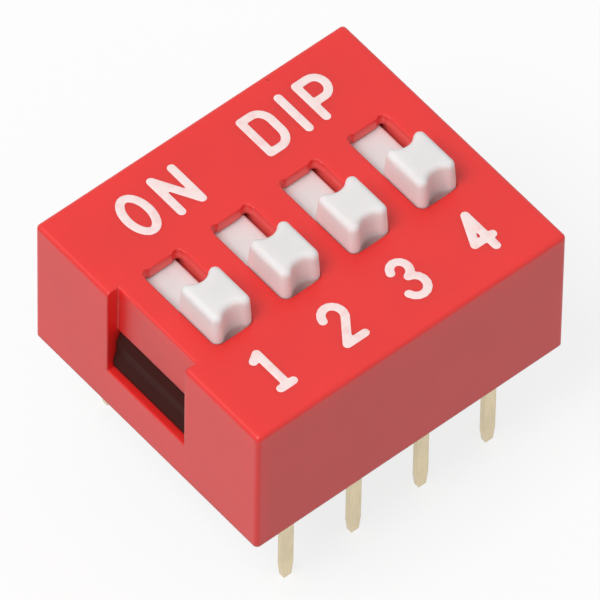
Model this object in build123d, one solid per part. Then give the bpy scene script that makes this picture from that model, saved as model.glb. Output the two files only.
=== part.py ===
from build123d import *
import math
import os

# Four-position slide DIP switch, sliders in the OFF position.
# X runs from position 1 to position 4, +Y points from the numbered side to the ON side, +Z is up.
# The origin is the centre of the underside of the body, where it seats on the board.
# All sizes are in millimetres.

# Layout
positions = 4
pitch = 2.54
row_spacing = 7.62
leg_spread = 8.00
travel = 1.50

# Body as a whole
body_length = 11.50
body_width = 9.95
body_height = 5.17

# Cover
end_wall = 0.60
side_wall = 0.55
top_wall = 0.43
cover_edge_radius = 0.15
cover_inner_cut = 0.10
rim_chamfer = 0.10
slot_width = 1.48
slot_length = 3.36
slot_corner_radius = 0.27
relief_radius = 0.155
relief_inset_x = 0.19
relief_inset_y = 0.10
rib_thickness = 0.18
rib_length = 4.60
rib_bottom = 4.19
recess_width = 3.46
recess_depth = 0.40
recess_edge_radius = 0.08
sill_height = 1.56
window_top = 3.19

# Base
fit_gap = 0.03
base_corner_cut = 0.15
guide_width = 1.90
guide_length = 7.00
guide_ledge = 3.95
chamber_width = 1.50
chamber_length = 4.95
pan_length = 9.40
pan_width = 8.20
pan_depth = 0.35
latch_width = 3.40
latch_root = 0.30
latch_bottom = 1.68
latch_lip_height = 0.23
latch_lip_reach = 0.43
latch_land_bottom = 2.26
latch_land_top = 2.70
latch_land_reach = 0.32
latch_top = 3.00
latch_top_reach = 0.17

# Terminals
sheet_thickness = 0.20
pad_top = 2.10
pad_width = 1.00
front_pad_end = -0.05
back_pad_end = 1.20
bend_radius = 0.25
shoulder_height = 0.55
leg_width = 0.42
leg_length = 3.95
spread_start = 0.15
spread_end = 0.95
tip_width = 0.28
tip_taper = 0.55

# Sealing resin
resin_recess = 0.06

# Sliders
running_gap = 0.03
plate_width = 1.80
plate_length = 5.20
plate_corner_cut = 0.15
shutter_width = 1.21
shutter_edge_cut = 0.05
carrier_width = 1.38
carrier_length = 3.20
carrier_wall = 0.28
carrier_skirt = 2.45
knob_width = 1.42
knob_length = 1.78
knob_top_width = 1.38
knob_top_length = 1.60
knob_rise = 1.05
knob_horn_radius = 0.19
knob_edge_radius = 0.17
knob_edge_steps = 3
groove_depth = 0.21

# Moving contacts
strip_thickness = 0.12
strip_width = 1.00
strip_flat = 1.10
foot_spacing = 2.10
foot_drop = 0.90
foot_radius = 0.16
finger_tip_reach = 0.20
finger_tip_rise = 0.32
finger_slit = 0.20
finger_root = 1.30
contact_gap = 0.02

# Derived sizes
ceiling = body_height - top_wall
shutter_top = ceiling - running_gap
plate_top = rib_bottom - running_gap
plate_bottom = guide_ledge + running_gap
base_length = body_length - 2 * end_wall - 2 * fit_gap
base_width = body_width - 2 * side_wall - 2 * fit_gap
centres = [(n - (positions - 1) / 2) * pitch for n in range(positions)]


def slab(length, width, bottom, top, x=0.0, y=0.0):
    """A rectangular plan, drawn at one height and extruded up to another."""
    plan = Pos(x, y, bottom) * Rectangle(length, width)
    return extrude(plan, amount=top - bottom)


def upright_edges(solid):
    """The edges that run straight up."""
    return solid.edges().filter_by(Axis.Z)


def bent_strip(points, radius, thickness, width):
    """A metal strip of one thickness, bent along a line in the YZ plane and centred on X = 0."""
    line = FilletPolyline(*points, radius=radius)
    section = Plane.YZ * trace(line, thickness)
    return extrude(section, amount=width / 2, both=True)


# Cover
def slot_plan():
    """The rounded outline of a slot, with a small round relief in each corner on the ON side."""
    plan = RectangleRounded(slot_width, slot_length, slot_corner_radius)
    for side in (-1, 1):
        relief = Circle(relief_radius)
        plan += Pos(side * (slot_width / 2 - relief_inset_x), slot_length / 2 - relief_inset_y) * relief
    return plan


def make_cover():
    """The moulded shell, open below: slots with a rib along each side, end windows and one recess."""
    cover = slab(body_length, body_width, 0, body_height)
    rounded = upright_edges(cover) + cover.edges().group_by(Axis.Z)[-1]
    cover = fillet(rounded, cover_edge_radius)

    hollow = slab(body_length - 2 * end_wall, body_width - 2 * side_wall, 0, ceiling)
    cover -= chamfer(upright_edges(hollow), cover_inner_cut)
    rim = cover.faces().sort_by(Axis.Z)[0]
    cover = chamfer(rim.inner_wires()[0].edges(), rim_chamfer)

    first_end = -body_length / 2
    brow = first_end + recess_depth
    cover -= slab(2 * recess_depth, recess_width, sill_height, body_height, x=first_end)
    rims = cover.edges().group_by(Axis.Z)[-1].filter_by(Axis.Y)
    rims = rims.filter_by_position(Axis.X, brow - recess_edge_radius, brow + recess_edge_radius)
    cover = fillet(rims, recess_edge_radius)
    for end in (first_end, -first_end):
        cover -= slab(2 * end_wall, recess_width, sill_height, window_top, x=end)

    opening = extrude(Pos(0, 0, ceiling) * slot_plan(), amount=top_wall)
    rib_middle = (slot_width + rib_thickness) / 2
    for x in centres:
        cover -= Pos(x, 0, 0) * opening
        for side in (-1, 1):
            cover += slab(rib_thickness, rib_length, rib_bottom, ceiling, x=x + side * rib_middle)
    return cover


# Terminals
def make_terminal(side, pad_end):
    """One stamped terminal: a contact pad, a square bend and a leg that is set slightly outwards."""
    pad_middle = pad_top - sheet_thickness / 2
    row = side * row_spacing / 2
    spread = side * leg_spread / 2
    points = [
        (pad_end, pad_middle),
        (row, pad_middle),
        (row, -spread_start),
        (spread, -spread_end),
        (spread, -leg_length),
    ]
    sheet = bent_strip(points, bend_radius, sheet_thickness, pad_width)
    outline = Polyline(
        (-pad_width / 2, pad_top),
        (-pad_width / 2, shoulder_height),
        (-leg_width / 2, shoulder_height),
        (-leg_width / 2, tip_taper - leg_length),
        (-tip_width / 2, -leg_length),
        (tip_width / 2, -leg_length),
        (leg_width / 2, tip_taper - leg_length),
        (leg_width / 2, shoulder_height),
        (pad_width / 2, shoulder_height),
        (pad_width / 2, pad_top),
        close=True,
    )
    blank = extrude(Plane.XZ * make_face(outline), amount=body_width / 2, both=True)
    return sheet & blank


# Base
def make_latch():
    """The wedge and land on the +X end of the base, drawn from the side and extruded across."""
    wall = base_length / 2
    root = wall - latch_root
    land = wall + latch_land_reach
    lip = wall + latch_lip_reach
    profile = Polyline(
        (root, latch_bottom),
        (lip, latch_bottom),
        (lip, latch_bottom + latch_lip_height),
        (land, latch_land_bottom),
        (land, latch_land_top),
        (wall + latch_top_reach, latch_top),
        (root, latch_top),
        close=True,
    )
    return extrude(Plane.XZ * make_face(profile), amount=latch_width / 2, both=True)


def make_base(terminals):
    """The moulded base: a guide and a contact chamber for each slider, a resin pan and two latches."""
    base = slab(base_length, base_width, 0, ceiling)
    base = chamfer(upright_edges(base), base_corner_cut)
    latch = make_latch()
    base += latch
    base += mirror(latch, about=Plane.YZ)
    base -= slab(pan_length, pan_width, 0, pan_depth)
    for x in centres:
        base -= slab(guide_width, guide_length, guide_ledge, ceiling, x=x)
        base -= slab(chamber_width, chamber_length, pad_top, guide_ledge, x=x)
    for terminal in terminals:
        base -= terminal
    return base


def make_sealing_resin(terminals):
    """The layer poured into the pan of the base, around the legs."""
    resin = slab(pan_length, pan_width, resin_recess, pan_depth)
    for terminal in terminals:
        resin -= terminal
    return resin


# Moving contacts
def make_moving_contact():
    """A spring clip with a flat back and a twin-fingered foot at each end, resting over the pads."""
    back = strip_flat / 2
    foot = foot_spacing / 2
    tip = foot + finger_tip_reach
    points = [
        (-tip, finger_tip_rise - foot_drop),
        (-foot, -foot_drop),
        (-back, 0),
        (back, 0),
        (foot, -foot_drop),
        (tip, finger_tip_rise - foot_drop),
    ]
    clip = bent_strip(points, foot_radius, strip_thickness, strip_width)
    box = clip.bounding_box()
    for side in (-1, 1):
        slit_length = box.size.Y / 2 - finger_root / 2 + strip_thickness
        middle = side * (finger_root / 2 + slit_length / 2)
        clip -= slab(finger_slit, slit_length, box.min.Z, box.max.Z, y=middle)
    return Pos(0, 0, pad_top + contact_gap - box.min.Z) * clip


# Sliders
def knob_section(height, inset=0.0):
    """The hourglass outline of the knob at a height above the cover: round horns, shallow grooves."""
    share = max(height, 0) / knob_rise
    width = knob_width + share * (knob_top_width - knob_width)
    length = knob_length + share * (knob_top_length - knob_length)
    horn_x = width / 2 - knob_horn_radius
    horn_y = length / 2 - knob_horn_radius
    reach = (horn_x ** 2 / groove_depth + groove_depth) / 2
    groove_y = horn_y + reach - groove_depth
    lean = math.degrees(math.atan2(groove_y - horn_y, horn_x))

    horn_radius = knob_horn_radius - inset
    groove_radius = reach - horn_radius
    side_x = horn_x + horn_radius
    end = CenterArc((horn_x, horn_y), horn_radius, 0, 180 - lean)
    end += CenterArc((0, groove_y), groove_radius, -lean, 2 * lean - 180)
    end += CenterArc((-horn_x, horn_y), horn_radius, lean, 180 - lean)
    sides = Line((side_x, -horn_y), (side_x, horn_y))
    sides += Line((-side_x, horn_y), (-side_x, -horn_y))
    outline = make_face(end + mirror(end, about=Plane.XZ) + sides)
    return (Pos(0, 0, body_height + height) * outline).face()


def make_knob():
    """The knob from the plate up: straight in the slot, tapered above it and rounded over at the top."""
    sections = [knob_section(plate_top - body_height), knob_section(0)]
    for step in range(knob_edge_steps + 1):
        turn = math.radians(90 * step / knob_edge_steps)
        height = knob_rise - knob_edge_radius * (1 - math.sin(turn))
        sections.append(knob_section(height, inset=knob_edge_radius * (1 - math.cos(turn))))
    return loft(sections, ruled=True)


def make_slider(contact):
    """A slider: the knob, the shutter seen in the slot, the running plate and the contact carrier."""
    plate = slab(plate_width, plate_length, plate_bottom, plate_top)
    plate = chamfer(upright_edges(plate), plate_corner_cut)
    shutter = slab(shutter_width, plate_length, plate_top, shutter_top)
    shutter = chamfer(shutter.edges().group_by(Axis.Z)[-1], shutter_edge_cut)

    contact_seat = contact.bounding_box().max.Z
    carrier = slab(carrier_width, carrier_length, carrier_skirt, plate_bottom)
    carrier -= slab(carrier_width, carrier_length - 2 * carrier_wall, carrier_skirt, contact_seat)

    return plate + shutter + carrier + make_knob()


def main():
    """Build every piece and write one STEP file for each."""
    os.makedirs("parts", exist_ok=True)
    pieces = {"cover": make_cover()}

    front = make_terminal(-1, front_pad_end)
    back = make_terminal(1, back_pad_end)
    for n, x in enumerate(centres, start=1):
        pieces[f"terminal_front_{n}"] = Pos(x, 0, 0) * front
        pieces[f"terminal_back_{n}"] = Pos(x, 0, 0) * back
    terminals = [piece for name, piece in pieces.items() if name.startswith("terminal")]
    pieces["base"] = make_base(terminals)
    pieces["sealing_resin"] = make_sealing_resin(terminals)

    contact = make_moving_contact()
    slider = make_slider(contact)
    for n, x in enumerate(centres, start=1):
        off_place = Pos(x, -travel / 2, 0)
        pieces[f"slider_{n}"] = off_place * slider
        pieces[f"moving_contact_{n}"] = off_place * contact

    for name, piece in pieces.items():
        export_step(piece, f"parts/{name}.step")


main()
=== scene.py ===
"""Finishes, printed legend, stage and camera for a four-position slide DIP switch."""
import math

import bpy
from bpy.props import FloatProperty, FloatVectorProperty, PointerProperty
from bpy.types import Operator, Panel, PropertyGroup
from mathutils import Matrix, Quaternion, Vector


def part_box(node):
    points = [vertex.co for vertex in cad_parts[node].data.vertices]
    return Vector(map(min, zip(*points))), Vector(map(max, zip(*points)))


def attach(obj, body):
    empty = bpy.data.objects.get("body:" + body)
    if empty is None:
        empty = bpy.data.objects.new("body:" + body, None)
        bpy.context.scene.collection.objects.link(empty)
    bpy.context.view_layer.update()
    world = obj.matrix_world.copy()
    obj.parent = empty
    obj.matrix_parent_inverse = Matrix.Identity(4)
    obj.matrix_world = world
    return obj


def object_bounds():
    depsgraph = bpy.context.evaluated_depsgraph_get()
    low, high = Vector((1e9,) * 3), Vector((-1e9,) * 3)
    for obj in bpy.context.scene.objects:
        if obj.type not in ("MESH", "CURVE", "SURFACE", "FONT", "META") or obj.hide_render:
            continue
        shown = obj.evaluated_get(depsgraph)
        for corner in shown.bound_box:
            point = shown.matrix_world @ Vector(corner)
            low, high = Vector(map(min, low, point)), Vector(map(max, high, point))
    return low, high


bl_info = {
    "name": "Slide DIP switch",
    "version": (1, 0, 0),
    "blender": (4, 5, 0),
    "location": "View3D > Sidebar > DIP switch",
    "description": "Moulded, plated and printed finishes for a slide DIP switch",
    "category": "Object",
}

# Units
MM = 0.001

# How far red, green and blue light spread inside the white and the red plastic, in millimetres
WHITE_REACH = (0.5, 0.43, 0.4)
RED_REACH = (1.0, 0.2, 0.17)

# How far the slots reach along and across the cover from its middle, and the depth over which
# their walls are painted paler, in millimetres: painted light, standing in for the light that the
# white sliders bounce onto them
SLOT_REACH = (4.7, 1.8)
SLOT_LIGHT_FADE = (0.02, 0.3)

# Dark specks: cells to a millimetre, each with at most one speck, and the distances from its
# middle between which a speck fades out, in cells
SPECK_CELLS = 1.1
SPECK_FADE = (0.03, 0.06)

# Distances from a leg in which the resin's raised ring runs out, in millimetres
RING_FADE = (0.15, 0.8)

# Rays to which the floor and the surroundings look white, the width of the floor in metres, how
# white it looks to them, and the share of its colour with which it lights the switch
RAYS_THAT_SHOW = ("Camera", "Glossy", "Transmission")
FLOOR_WIDTH = 3.0
FLOOR_WHITENESS = 0.8
FLOOR_BOUNCE = 0.4

# Where the key light comes from, how far away it is and how wide, in metres
KEY_DIRECTION = (-0.6, -0.04, 1.0)
KEY_DISTANCE = 0.4
KEY_WIDTH = 0.2

# The point that the camera looks at, and the width of its sensor, in millimetres
CAMERA_AIM = (0.577, 0.664, 0.660)
SENSOR_WIDTH = 36

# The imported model
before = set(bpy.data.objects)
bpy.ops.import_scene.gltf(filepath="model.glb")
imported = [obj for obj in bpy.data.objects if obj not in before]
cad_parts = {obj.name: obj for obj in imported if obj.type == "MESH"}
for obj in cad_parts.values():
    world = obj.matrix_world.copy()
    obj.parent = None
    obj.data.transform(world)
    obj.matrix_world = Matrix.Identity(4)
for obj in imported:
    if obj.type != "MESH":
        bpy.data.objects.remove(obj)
CAD_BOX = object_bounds()
POSITIONS = range(1, 5)
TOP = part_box("cover")[1].z
SLOT_CENTRES = {n: sum(corner.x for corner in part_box(f"slider_{n}")) / 2 for n in POSITIONS}
PITCH = SLOT_CENTRES[2] - SLOT_CENTRES[1]


class Value:
    """A shader socket that can be used in sums, each of which adds one Math node."""

    def __init__(self, shader, socket):
        self.shader = shader
        self.socket = socket

    def sum(self, operation, first, second):
        return self.shader.node("ShaderNodeMath", {"operation": operation}, {0: first, 1: second})

    def __add__(self, other):
        return self.sum("ADD", self, other)

    def __radd__(self, other):
        return self.sum("ADD", other, self)

    def __sub__(self, other):
        return self.sum("SUBTRACT", self, other)

    def __rsub__(self, other):
        return self.sum("SUBTRACT", other, self)

    def __mul__(self, other):
        return self.sum("MULTIPLY", self, other)

    def __rmul__(self, other):
        return self.sum("MULTIPLY", other, self)

    def __gt__(self, other):
        return self.sum("GREATER_THAN", self, other)

    def __lt__(self, other):
        return self.sum("LESS_THAN", self, other)


class Shader:
    """The node tree of a material or of the world, built one node at a time."""

    def __init__(self, owner):
        owner.use_nodes = True
        self.tree = owner.node_tree
        self.tree.nodes.clear()

    def node(self, kind, settings=None, inputs=None, output=0):
        """Adds a node, makes its settings, fills or links its sockets, and gives one output."""
        node = self.tree.nodes.new(kind)
        for name, setting in (settings or {}).items():
            setattr(node, name, setting)
        for key, value in (inputs or {}).items():
            if isinstance(value, Value):
                self.tree.links.new(value.socket, node.inputs[key])
            else:
                node.inputs[key].default_value = value
        return Value(self, node.outputs[output]) if len(node.outputs) else None

    def millimetres(self, stretch=(1, 1, 1)):
        """Object coordinates in millimetres, optionally drawn out along an axis."""
        place = self.node("ShaderNodeTexCoord", output="Object")
        scale = [1 / (MM * share) for share in stretch]
        return self.node("ShaderNodeMapping", None, {"Vector": place, "Scale": scale})

    def noise(self, place, size, detail=2.0, roughness=0.5):
        """Noise from 0 to 1 whose features are about size millimetres across."""
        inputs = {"Vector": place, "Scale": 1 / size, "Detail": detail, "Roughness": roughness}
        return self.node("ShaderNodeTexNoise", None, inputs)

    def axis(self, place, name):
        """One coordinate of a place."""
        return self.node("ShaderNodeSeparateXYZ", None, {"Vector": place}, output=name)

    def size_of(self, value):
        """A value without its sign."""
        return self.node("ShaderNodeMath", {"operation": "ABSOLUTE"}, {0: value})

    def ramp(self, value, low, high):
        """Runs smoothly from 0 at low to 1 at high."""
        inputs = {"Value": value, "From Min": low, "From Max": high}
        return self.node("ShaderNodeMapRange", {"interpolation_type": "SMOOTHSTEP"}, inputs)

    def mix(self, mask, first, second):
        """A colour between first and second."""
        inputs = {0: mask, 6: first, 7: second}
        return self.node("ShaderNodeMix", {"data_type": "RGBA"}, inputs, output=2)

    def rounded_bump(self, height, depth, edge_radius):
        """The surface normal with a soft edge and a relief of depth millimetres."""
        edge = self.node("ShaderNodeBevel", {"samples": 8}, {"Radius": edge_radius * MM})
        inputs = {"Height": height, "Distance": depth * MM, "Normal": edge}
        return self.node("ShaderNodeBump", None, inputs)

    def surface(self, inputs):
        """Ends the material in one principled surface."""
        shade = self.node("ShaderNodeBsdfPrincipled", None, inputs)
        self.node("ShaderNodeOutputMaterial", None, {"Surface": shade})


def rgba(colour, share=1.0):
    """A socket colour, optionally darkened."""
    return (colour[0] * share, colour[1] * share, colour[2] * share, 1.0)


def new_finish(name):
    """A new material and the shader that fills it."""
    material = bpy.data.materials.new(name)
    return material, Shader(material)


# Finishes
def moulded_plastic(name, colour, roughness, grain, grain_depth, edge_radius, ior,
                    milk=0.0, reach=WHITE_REACH, specks=0.0, slot_walls=None):
    """Injection-moulded plastic with a slow colour drift and a fine spark texture.

    grain, grain_depth and edge_radius are in millimetres. ior sets the strength of its
    reflections, milk the share of light that scatters inside it and reach how far it spreads in
    red, green and blue. specks is the share of cells that hold a dark speck. The slot-wall colour,
    the last argument, is painted light: a paler colour painted on the walls of the slots, for the
    light that the white slider beside them bounces onto them.
    """
    material, shader = new_finish(name)
    place = shader.millimetres()
    drift = shader.noise(place, 2.4, detail=3.0)
    grains = shader.noise(place, grain, detail=3.0, roughness=0.6)
    tone = shader.ramp(drift * 0.75 + grains * 0.25, 0.3, 0.7)
    base = shader.mix(tone, rgba(colour, 0.94), rgba(colour))
    if specks:
        dots = {"Vector": place, "Scale": SPECK_CELLS}
        from_dot = shader.node("ShaderNodeTexVoronoi", None, dots, output="Distance")
        chance = shader.node("ShaderNodeTexVoronoi", None, dots, output="Color")
        drawn = shader.node("ShaderNodeSeparateColor", None, {"Color": chance}, output="Red")
        speck = (1 - shader.ramp(from_dot, *SPECK_FADE)) * (drawn > 1 - specks)
        base = shader.mix(speck * 0.75, base, rgba(colour, 0.3))
    # Painted light: the walls of the slots are painted paler below the top, for the light that the
    # white sliders bounce onto them
    if slot_walls is not None:
        along = shader.size_of(shader.axis(place, "X"))
        across = shader.size_of(shader.axis(place, "Y"))
        depth = TOP / MM - shader.axis(place, "Z")
        near_slots = (along < SLOT_REACH[0]) * (across < SLOT_REACH[1])
        base = shader.mix(near_slots * shader.ramp(depth, *SLOT_LIGHT_FADE), base, rgba(slot_walls))
    relief = grains * 0.8 + drift * 0.2
    shader.surface({
        "Base Color": base,
        "Roughness": roughness - 0.04 + 0.08 * grains,
        "IOR": ior,
        "Subsurface Weight": milk,
        "Subsurface Radius": reach,
        "Subsurface Scale": MM,
        "Normal": shader.rounded_bump(relief, grain_depth, edge_radius),
    })
    return material


def gold_plate(name, colour):
    """Thin gold over rolled strip: fine lines along the leg and a slow drift in tone and gloss."""
    material, shader = new_finish(name)
    drift = shader.noise(shader.millimetres(), 0.9, detail=3.0)
    lines = shader.noise(shader.millimetres(stretch=(1, 1, 14)), 0.05, detail=2.0)
    tone = shader.ramp(drift * 0.6 + lines * 0.4, 0.3, 0.7)
    shader.surface({
        "Base Color": shader.mix(tone, rgba(colour, 0.84), rgba(colour)),
        "Metallic": 1.0,
        "Roughness": 0.24 + 0.16 * drift,
        "Normal": shader.rounded_bump(lines, 0.0012, 0.03),
    })
    return material


def cast_resin(name, colour):
    """Poured epoxy: glossy, slightly wavy, and drawn up in a ring around each leg."""
    material, shader = new_finish(name)
    place = shader.millimetres()
    half_pitch = PITCH / MM / 2
    leg_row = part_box("terminal_back_1")[1].y / MM
    along = {0: shader.axis(place, "X"), 1: half_pitch}
    column_gap = half_pitch - shader.node("ShaderNodeMath", {"operation": "PINGPONG"}, along)
    row_gap = shader.size_of(shader.axis(place, "Y")) - leg_row
    squares = column_gap * column_gap + row_gap * row_gap
    distance = shader.node("ShaderNodeMath", {"operation": "SQRT"}, {0: squares})
    ring = 1 - shader.ramp(distance, *RING_FADE)
    waves = shader.noise(place, 1.8, detail=2.0)
    shader.surface({
        "Base Color": shader.mix(waves, rgba(colour, 0.7), rgba(colour)),
        "Roughness": 0.12 + 0.1 * waves,
        "Normal": shader.rounded_bump(waves * 0.3 + ring * 0.7, 0.05, 0.02),
    })
    return material


def printed_ink(name, colour, under):
    """Pad-printed ink: thin enough for a little of the cover's colour to come through."""
    material, shader = new_finish(name)
    place = shader.millimetres()
    patches = shader.noise(place, 0.3, detail=3.0)
    grain = shader.noise(place, 0.05, detail=2.0)
    thin = shader.ramp(patches, 0.45, 0.75) * 0.16
    shader.surface({
        "Base Color": shader.mix(thin, rgba(colour), rgba(under)),
        "Roughness": 0.5 + 0.1 * grain,
        "Normal": shader.node("ShaderNodeBump", None, {"Height": grain, "Distance": 0.002 * MM}),
    })
    return material


def give(material, nodes):
    """Puts a finish on CAD nodes, in their own material slots."""
    for name in nodes:
        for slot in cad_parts[name].material_slots:
            slot.material = material


# Sizes and colours that a user would change
class CoverLooks(PropertyGroup):
    colour: FloatVectorProperty(
        name="Colour", description="Red of the cover", subtype="COLOR", size=3,
        default=(0.85, 0.019, 0.016), min=0, max=1)
    roughness: FloatProperty(
        name="Roughness", description="Dullness of the cover", subtype="FACTOR",
        default=0.38, min=0, max=1)
    milk: FloatProperty(
        name="Milk", description="Share of light that scatters inside the cover", subtype="FACTOR",
        default=0.4, min=0, max=1)
    # Painted light: a paler colour painted on the slots' walls, for the light that the white sliders
    # bounce onto them
    slot_walls: FloatVectorProperty(
        name="Slot walls", description="Colour of the slots' walls beside the white sliders",
        subtype="COLOR", size=3, default=(1.0, 0.11, 0.1), min=0, max=1)
    grain: FloatProperty(
        name="Grain", description="Width of the mould texture", subtype="DISTANCE", unit="LENGTH",
        default=0.11 * MM, min=0.01 * MM)
    grain_depth: FloatProperty(
        name="Grain depth", description="Depth of the mould texture", subtype="DISTANCE",
        unit="LENGTH", default=0.0025 * MM, min=0)
    specks: FloatProperty(
        name="Specks", description="Share of the surface's cells that hold a dark speck",
        subtype="FACTOR", default=0.06, min=0, max=1)


class SliderLooks(PropertyGroup):
    colour: FloatVectorProperty(
        name="Colour", description="White of the sliders", subtype="COLOR", size=3,
        default=(0.8, 0.79, 0.785), min=0, max=1)
    roughness: FloatProperty(
        name="Roughness", description="Dullness of the sliders", subtype="FACTOR",
        default=0.6, min=0, max=1)
    milk: FloatProperty(
        name="Milk", description="Share of light that scatters inside the sliders", subtype="FACTOR",
        default=0.85, min=0, max=1)


class BaseLooks(PropertyGroup):
    # Near-black of the base; its red tint is a painted reflection of the red cover and sill beside it
    colour: FloatVectorProperty(
        name="Colour", description="Black of the base", subtype="COLOR", size=3,
        default=(0.05, 0.013, 0.011), min=0, max=1)
    roughness: FloatProperty(
        name="Roughness", description="Dullness of the base", subtype="FACTOR",
        default=0.45, min=0, max=1)
    resin: FloatVectorProperty(
        name="Resin", description="Colour of the sealing resin", subtype="COLOR", size=3,
        default=(0.045, 0.03, 0.022), min=0, max=1)


class MetalLooks(PropertyGroup):
    colour: FloatVectorProperty(
        name="Colour", description="Pale gold of the terminals", subtype="COLOR", size=3,
        default=(0.78, 0.66, 0.44), min=0, max=1)


class LegendLooks(PropertyGroup):
    colour: FloatVectorProperty(
        name="Colour", description="White of the printed ink", subtype="COLOR", size=3,
        default=(0.93, 0.76, 0.74), min=0, max=1)
    height: FloatProperty(
        name="Height", description="Height of a letter", subtype="DISTANCE", unit="LENGTH",
        default=1.66 * MM, min=0)
    width: FloatProperty(
        name="Width", description="Width of a letter", subtype="DISTANCE", unit="LENGTH",
        default=1.05 * MM, min=0)
    digit_width: FloatProperty(
        name="Digit width", description="Width of a digit", subtype="DISTANCE", unit="LENGTH",
        default=0.93 * MM, min=0)
    gap: FloatProperty(
        name="Gap", description="Space between two letters", subtype="DISTANCE", unit="LENGTH",
        default=0.37 * MM, min=0)
    pen: FloatProperty(
        name="Pen", description="Width of a stroke", subtype="DISTANCE", unit="LENGTH",
        default=0.28 * MM, min=0)
    ink: FloatProperty(
        name="Ink", description="Thickness of the ink", subtype="DISTANCE", unit="LENGTH",
        default=0.012 * MM, min=0)
    word_row: FloatProperty(
        name="Word row", description="Distance of the words from the middle of the cover",
        subtype="DISTANCE", unit="LENGTH", default=3.37 * MM)
    digit_row: FloatProperty(
        name="Digit row", description="Distance of the digits from the middle of the cover",
        subtype="DISTANCE", unit="LENGTH", default=3.27 * MM)


class StageLooks(PropertyGroup):
    azimuth: FloatProperty(
        name="Azimuth", description="Direction the camera looks along, clockwise from +Y",
        subtype="ANGLE", default=math.radians(40.74))
    elevation: FloatProperty(
        name="Elevation", description="Height of the camera above the horizon",
        subtype="ANGLE", default=math.radians(53.13))
    roll: FloatProperty(
        name="Roll", description="Tilt of the camera", subtype="ANGLE", default=math.radians(1.04))
    distance: FloatProperty(
        name="Distance", description="Distance of the camera", subtype="DISTANCE", unit="LENGTH",
        default=0.4608)
    lens: FloatProperty(
        name="Lens", description="Focal length on a 36 mm sensor", unit="CAMERA", default=959.4)
    key: FloatProperty(
        name="Key light", description="Power of the key light", subtype="POWER", unit="POWER",
        default=1.02)
    ambient: FloatProperty(
        name="Ambient", description="Strength of the surrounding light", default=0.49)
    floor: FloatVectorProperty(
        name="Floor", description="Colour of the floor", subtype="COLOR", size=3,
        default=(0.93, 0.93, 0.93), min=0, max=1)


# Legend
def arc(centre, radius, start, end, steps=10):
    """Points along an elliptical arc, with its angles in degrees, anticlockwise from the right."""
    points = []
    for step in range(steps + 1):
        turn = math.radians(start + (end - start) * step / steps)
        points.append((centre[0] + radius[0] * math.cos(turn), centre[1] + radius[1] * math.sin(turn)))
    return points


# The strokes of each sign, in shares of its box, from 0 at the left and the foot
STROKES = {
    "O": [arc((0.5, 0.5), (0.5, 0.5), 0, 360, steps=32)],
    "N": [[(0, 0), (0, 1)], [(0, 1), (1, 0)], [(1, 0), (1, 1)]],
    "D": [[(0, 0), (0, 1)], [(0, 1)] + arc((0.5, 0.66), (0.5, 0.34), 90, 0)
          + arc((0.5, 0.34), (0.5, 0.34), 0, -90) + [(0, 0)]],
    "I": [[(0.5, 0), (0.5, 1)]],
    "P": [[(0, 0), (0, 1)], [(0, 1)] + arc((0.55, 0.715), (0.45, 0.285), 90, -90) + [(0, 0.43)]],
    "1": [[(0.12, 0.88), (0.5, 1)], [(0.5, 1), (0.5, 0)], [(0.12, 0), (0.82, 0)]],
    "2": [arc((0.48, 0.73), (0.52, 0.27), 172, -28) + [(0, 0)], [(0, 0), (1, 0)]],
    "3": [arc((0.46, 0.77), (0.44, 0.23), 165, -78), arc((0.46, 0.27), (0.54, 0.27), 82, -162)],
    "4": [[(0.72, 0), (0.72, 1)], [(0.72, 1), (0, 0.28)], [(0, 0.28), (1, 0.28)]],
}


def only(*pieces):
    """Selects these objects and nothing else."""
    bpy.ops.object.select_all(action="DESELECT")
    for piece in pieces:
        piece.select_set(True)
        bpy.context.view_layer.objects.active = piece


def draw_stroke(points, pen):
    """A round tube along the points, with a ball at each end, in millimetres."""
    bpy.ops.object.select_all(action="DESELECT")
    bpy.ops.curve.primitive_nurbs_path_add()
    line = bpy.context.object
    line.data.splines.clear()
    spline = line.data.splines.new("POLY")
    spline.points.add(len(points) - 1)
    for point, (x, y) in zip(spline.points, points):
        point.co = (x, y, 0, 1)
    line.data.bevel_depth = pen / 2
    line.data.bevel_resolution = 4
    line.data.use_fill_caps = True
    only(line)
    bpy.ops.object.convert(target="MESH")
    made = [bpy.context.object]
    for x, y in (points[0], points[-1]):
        bpy.ops.mesh.primitive_uv_sphere_add(
            segments=16, ring_count=12, radius=pen / 2, location=(x, y, 0))
        made.append(bpy.context.object)
    return made


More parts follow.
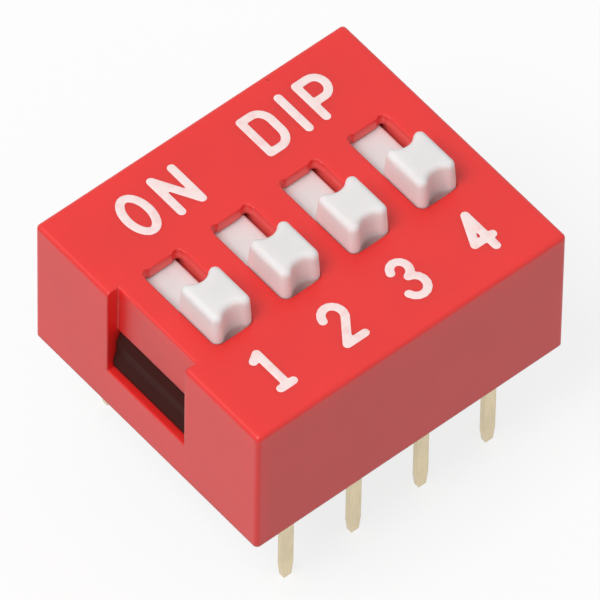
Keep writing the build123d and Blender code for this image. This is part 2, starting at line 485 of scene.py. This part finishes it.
def print_letters(name, letters, material, looks):
    """Inks one word: fuses its strokes, keeps their upper half and presses it flat on the cover.

    letters holds each sign with its box: the left, the foot, the width and the height.
    """
    pen = looks.pen / MM
    made = []
    for sign, left, foot, width, height in letters:
        for stroke in STROKES[sign]:
            across = [left + share * (width - pen) + pen / 2 for share, _ in stroke]
            up = [foot + share * (height - pen) + pen / 2 for _, share in stroke]
            made += draw_stroke(list(zip(across, up)), pen)
    only(*made)
    bpy.ops.object.transform_apply(location=True, rotation=True, scale=True)
    bpy.ops.object.join()
    word = bpy.context.object
    word.name = name

    fuse = word.modifiers.new("fuse", "REMESH")
    fuse.mode = "VOXEL"
    fuse.voxel_size = pen / 11
    even = word.modifiers.new("even", "SMOOTH")
    even.factor = 0.5
    even.iterations = 3
    bpy.ops.object.modifier_apply(modifier=fuse.name)
    bpy.ops.object.modifier_apply(modifier=even.name)

    bpy.ops.object.mode_set(mode="EDIT")
    bpy.ops.mesh.select_all(action="SELECT")
    bpy.ops.mesh.bisect(plane_co=(0, 0, 0), plane_no=(0, 0, 1), use_fill=True, clear_inner=True)
    bpy.ops.mesh.select_all(action="SELECT")
    bpy.ops.mesh.normals_make_consistent(inside=False)
    bpy.ops.object.mode_set(mode="OBJECT")
    word.location = (0, 0, TOP)
    word.scale = (MM, MM, looks.ink / (pen / 2))
    bpy.ops.object.transform_apply(location=True, rotation=True, scale=True)
    bpy.ops.object.shade_smooth()
    word.data.materials.clear()
    word.data.materials.append(material)
    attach(word, "housing")


# Operators
class SWITCH_OT_cover(Operator):
    """Finish the cover in red moulded plastic, with painted light on the walls of its slots"""
    bl_idname = "dip_switch.cover"
    bl_label = "Cover"

    def execute(self, context):
        looks = context.scene.switch_cover
        finish = moulded_plastic(
            "cover_red", looks.colour, looks.roughness, looks.grain / MM, looks.grain_depth / MM,
            edge_radius=0.09, ior=1.58, milk=looks.milk, reach=RED_REACH, specks=looks.specks,
            slot_walls=looks.slot_walls)
        give(finish, ["cover"])
        return {"FINISHED"}


class SWITCH_OT_base(Operator):
    """Finish the base in black moulded plastic and its underside in sealing resin"""
    bl_idname = "dip_switch.base"
    bl_label = "Base and resin"

    def execute(self, context):
        looks = context.scene.switch_base
        finish = moulded_plastic(
            "base_black", looks.colour, looks.roughness, grain=0.09, grain_depth=0.002,
            edge_radius=0.04, ior=1.1)
        give(finish, ["base"])
        give(cast_resin("sealing_resin", looks.resin), ["sealing_resin"])
        return {"FINISHED"}


class SWITCH_OT_sliders(Operator):
    """Finish the four sliders in white moulded plastic"""
    bl_idname = "dip_switch.sliders"
    bl_label = "Sliders"

    def execute(self, context):
        looks = context.scene.switch_sliders
        finish = moulded_plastic(
            "slider_white", looks.colour, looks.roughness, grain=0.08, grain_depth=0.001,
            edge_radius=0.08, ior=1.42, milk=looks.milk)
        give(finish, [f"slider_{n}" for n in POSITIONS])
        return {"FINISHED"}


class SWITCH_OT_metal(Operator):
    """Finish the terminals and the moving contacts in gold plate"""
    bl_idname = "dip_switch.metal"
    bl_label = "Terminals and contacts"

    def execute(self, context):
        finish = gold_plate("gold_plate", context.scene.switch_metal.colour)
        for kind in ("terminal_front", "terminal_back", "moving_contact"):
            give(finish, [f"{kind}_{n}" for n in POSITIONS])
        return {"FINISHED"}


class SWITCH_OT_legend(Operator):
    """Print the words above the slots and the position numbers below them"""
    bl_idname = "dip_switch.legend"
    bl_label = "Legend"

    def execute(self, context):
        looks = context.scene.switch_legend
        ink = printed_ink("legend_ink", looks.colour, context.scene.switch_cover.colour)
        height = looks.height / MM
        word_foot = looks.word_row / MM - height / 2
        digit_foot = -looks.digit_row / MM - height / 2
        for word, side in (("ON", -1), ("DIP", 1)):
            widths = [looks.pen / MM if sign == "I" else looks.width / MM for sign in word]
            left = side * PITCH / MM - (sum(widths) + (len(word) - 1) * looks.gap / MM) / 2
            letters = []
            for sign, width in zip(word, widths):
                letters.append((sign, left, word_foot, width, height))
                left += width + looks.gap / MM
            print_letters(f"legend_{word.lower()}", letters, ink, looks)
        for n in POSITIONS:
            width = looks.digit_width / MM
            left = SLOT_CENTRES[n] / MM - width / 2
            print_letters(f"legend_{n}", [(str(n), left, digit_foot, width, height)], ink, looks)
        return {"FINISHED"}


class SWITCH_OT_stage(Operator):
    """Add the floor, the lights, the surroundings and the camera"""
    bl_idname = "dip_switch.stage"
    bl_label = "Stage"

    def execute(self, context):
        looks = context.scene.switch_stage
        self.floor(looks)
        self.surroundings(context.scene, looks)
        self.key_light(looks)
        self.camera(context.scene, looks)
        context.scene.view_settings.view_transform = "Standard"
        return {"FINISHED"}

    def seen(self, shader):
        """1 for the rays that show a background: to the camera, in a reflection, through glass."""
        camera, glossy, transmission = (
            shader.node("ShaderNodeLightPath", output=f"Is {kind} Ray") for kind in RAYS_THAT_SHOW)
        return camera + glossy + transmission

    def floor(self, looks):
        """A wide floor under the leg tips, pale to the eye and calmer as a source of light."""
        bpy.ops.object.select_all(action="DESELECT")
        bpy.ops.mesh.primitive_plane_add(size=FLOOR_WIDTH, location=(0, 0, CAD_BOX[0].z))
        floor = bpy.context.object
        floor.name = "floor"
        bpy.ops.object.transform_apply(location=True, rotation=True, scale=True)
        material, shader = new_finish("floor")
        seen = self.seen(shader)
        colour = shader.mix(seen, rgba(looks.floor, FLOOR_BOUNCE), rgba(looks.floor))
        lit = shader.node("ShaderNodeBsdfDiffuse", None, {"Color": colour})
        white = shader.node("ShaderNodeEmission", None, {"Color": (1, 1, 1, 1), "Strength": 1.0})
        both = shader.node("ShaderNodeMixShader", None, {0: seen * FLOOR_WHITENESS, 1: lit, 2: white})
        shader.node("ShaderNodeOutputMaterial", None, {"Surface": both})
        floor.data.materials.append(material)

    def surroundings(self, scene, looks):
        """A white background that gives only a moderate light."""
        scene.world = bpy.data.worlds.new("surroundings")
        shader = Shader(scene.world)
        strength = looks.ambient + (1 - looks.ambient) * self.seen(shader)
        light = shader.node("ShaderNodeBackground", None, {"Color": (1, 1, 1, 1), "Strength": strength})
        shader.node("ShaderNodeOutputWorld", None, {"Surface": light})

    def key_light(self, looks):
        """A soft light high on the side of position 1."""
        away = Vector(KEY_DIRECTION).normalized() * KEY_DISTANCE
        bpy.ops.object.light_add(type="AREA", location=away)
        lamp = bpy.context.object
        lamp.name = "key_light"
        lamp.rotation_euler = (-away).to_track_quat("-Z", "Y").to_euler()
        lamp.data.energy = looks.key
        lamp.data.size = KEY_WIDTH

    def camera(self, scene, looks):
        """A long lens at the angle from which the switch is seen."""
        flat = math.cos(looks.elevation)
        forward = Vector((
            math.sin(looks.azimuth) * flat, math.cos(looks.azimuth) * flat, -math.sin(looks.elevation)))
        bpy.ops.object.camera_add(location=Vector(CAMERA_AIM) * MM - forward * looks.distance)
        camera = bpy.context.object
        turn = forward.to_track_quat("-Z", "Y") @ Quaternion((0, 0, 1), looks.roll)
        camera.rotation_euler = turn.to_euler()
        camera.data.sensor_width = SENSOR_WIDTH
        camera.data.lens = looks.lens
        camera.data.clip_start = looks.distance / 10
        camera.data.clip_end = looks.distance * 10
        scene.camera = camera


class SWITCH_PT_panel(Panel):
    """Lists the steps that dress the switch"""
    bl_idname = "SWITCH_PT_panel"
    bl_label = "DIP switch"
    bl_space_type = "VIEW_3D"
    bl_region_type = "UI"
    bl_category = "DIP switch"

    def draw(self, context):
        for step in STEPS:
            self.layout.operator(step.bl_idname)


LOOKS = {
    "switch_cover": CoverLooks,
    "switch_sliders": SliderLooks,
    "switch_base": BaseLooks,
    "switch_metal": MetalLooks,
    "switch_legend": LegendLooks,
    "switch_stage": StageLooks,
}
STEPS = (
    SWITCH_OT_cover,
    SWITCH_OT_base,
    SWITCH_OT_sliders,
    SWITCH_OT_metal,
    SWITCH_OT_legend,
    SWITCH_OT_stage,
)


def register():
    for kind in (*LOOKS.values(), *STEPS, SWITCH_PT_panel):
        bpy.utils.register_class(kind)
    for name, kind in LOOKS.items():
        setattr(bpy.types.Scene, name, PointerProperty(type=kind))


def unregister():
    for name in LOOKS:
        delattr(bpy.types.Scene, name)
    for kind in (SWITCH_PT_panel, *reversed(STEPS), *LOOKS.values()):
        bpy.utils.unregister_class(kind)


def main():
    """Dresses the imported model."""
    register()
    bpy.ops.dip_switch.cover()
    bpy.ops.dip_switch.base()
    bpy.ops.dip_switch.sliders()
    bpy.ops.dip_switch.metal()
    bpy.ops.dip_switch.legend()
    bpy.ops.dip_switch.stage()


if __name__ == "__main__":
    main()
